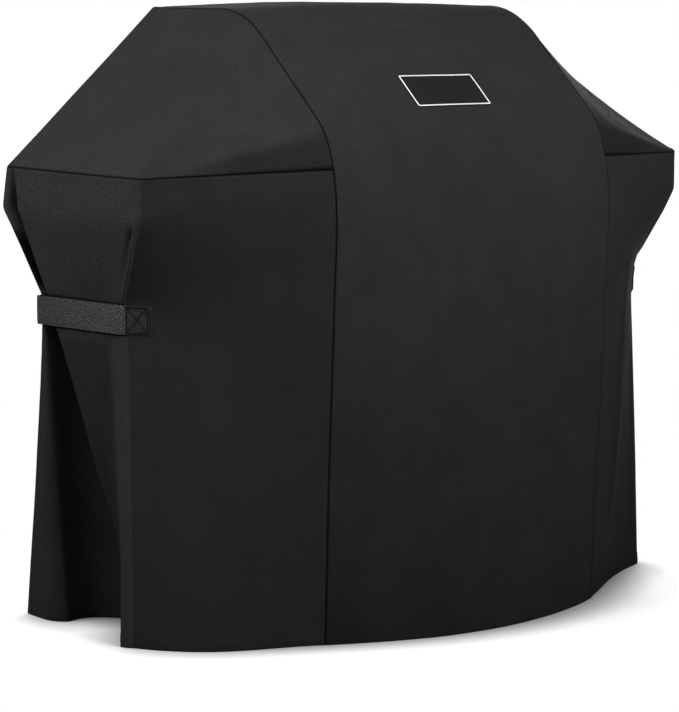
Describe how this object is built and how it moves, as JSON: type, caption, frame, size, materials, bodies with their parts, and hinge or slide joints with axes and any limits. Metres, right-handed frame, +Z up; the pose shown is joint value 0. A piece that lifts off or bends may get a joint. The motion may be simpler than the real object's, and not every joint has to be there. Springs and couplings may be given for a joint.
{
  "type": "grill cover",
  "caption": "Fitted cloth cover for a free-standing barbecue, with an arched hood, side shelf wings, pleated ends and webbing straps that cinch it round the trolley.",
  "frame": {"origin": "centre of the cover's footprint, on the surface that the hem stands on", "axes": "+X across the cover towards its right end, +Y from the front to the back, +Z up"},
  "size_m": [1.256, 0.619, 1.098],
  "materials": {
    "cover_cloth": "coated woven polyester, matt",
    "seam_tape": "folded binding tape",
    "strap_webbing": "flat woven webbing",
    "hook_tape": "hook side of a touch fastener",
    "loop_pile": "loop side of a touch fastener",
    "thread": "bonded polyester thread",
    "label_fabric": "blank woven patch"
  },
  "bodies": {
    "cover": {"centre_panel": "cover_cloth", "left_shoulder_panel": "cover_cloth", "right_shoulder_panel": "cover_cloth", "left_front_panel": "cover_cloth", "right_front_panel": "cover_cloth", "left_end_panel": "cover_cloth", "right_end_panel": "cover_cloth", "left_back_panel": "cover_cloth", "right_back_panel": "cover_cloth", "centre_front_hem": "cover_cloth", "centre_back_hem": "cover_cloth", "left_front_hem": "cover_cloth", "right_front_hem": "cover_cloth", "left_end_hem": "cover_cloth", "right_end_hem": "cover_cloth", "left_back_hem": "cover_cloth", "right_back_hem": "cover_cloth", "left_long_seam_tape": "seam_tape", "right_long_seam_tape": "seam_tape", "left_shelf_seam_tape": "seam_tape", "right_shelf_seam_tape": "seam_tape", "left_front_corner_tape": "seam_tape", "right_front_corner_tape": "seam_tape", "left_rear_corner_tape": "seam_tape", "right_rear_corner_tape": "seam_tape", "left_loop_pad": "loop_pile", "right_loop_pad": "loop_pile", "left_strap_anchor": "strap_webbing", "right_strap_anchor": "strap_webbing", "left_anchor_stitching": "thread", "right_anchor_stitching": "thread", "label_patch": "label_fabric"},
    "left_strap": {"left_strap": "strap_webbing", "left_hook_pad": "hook_tape"},
    "right_strap": {"right_strap": "strap_webbing", "right_hook_pad": "hook_tape"}
  },
  "joints": [
    {"name": "left_strap_swing", "type": "hinge", "parent": "cover", "child": "left_strap", "pos_m": [-0.5955, -0.0335, 0.569], "axis": [0, 0, 1], "range_deg": [0, 110]},
    {"name": "right_strap_swing", "type": "hinge", "parent": "cover", "child": "right_strap", "pos_m": [0.5955, -0.0335, 0.569], "axis": [0, 0, -1], "range_deg": [0, 110]}
  ]
}
